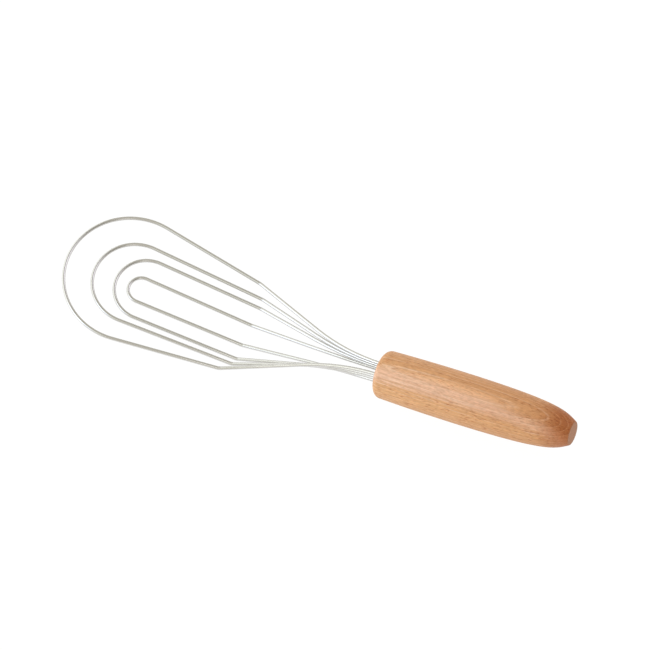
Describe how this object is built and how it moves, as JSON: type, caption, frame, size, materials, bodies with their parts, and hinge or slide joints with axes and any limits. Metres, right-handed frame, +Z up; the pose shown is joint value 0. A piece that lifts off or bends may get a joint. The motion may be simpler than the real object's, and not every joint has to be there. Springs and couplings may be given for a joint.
{
  "type": "flat whisk",
  "caption": "Flat hand whisk: nested wire loops stacked in layers, bent up at the neck and potted in a turned beech handle; stirs and scrapes sauces in a pan.",
  "frame": {"origin": "on the table, under the middle of the whisk's box as it lies at rest", "axes": "+X along the whisk towards the butt of the handle, +Y across the head, +Z up from the table"},
  "size_m": [0.2644, 0.0668, 0.0287],
  "materials": {
    "beech": "turned and sanded beech, oiled, satin",
    "steel_wire": "drawn stainless wire, polished",
    "resin": "clear amber potting resin"
  },
  "bodies": {
    "root": {"handle": "beech", "resin_plug": "resin", "outer_loop": "steel_wire", "second_loop": "steel_wire", "third_loop": "steel_wire", "inner_loop": "steel_wire"}
  },
  "joints": []
}
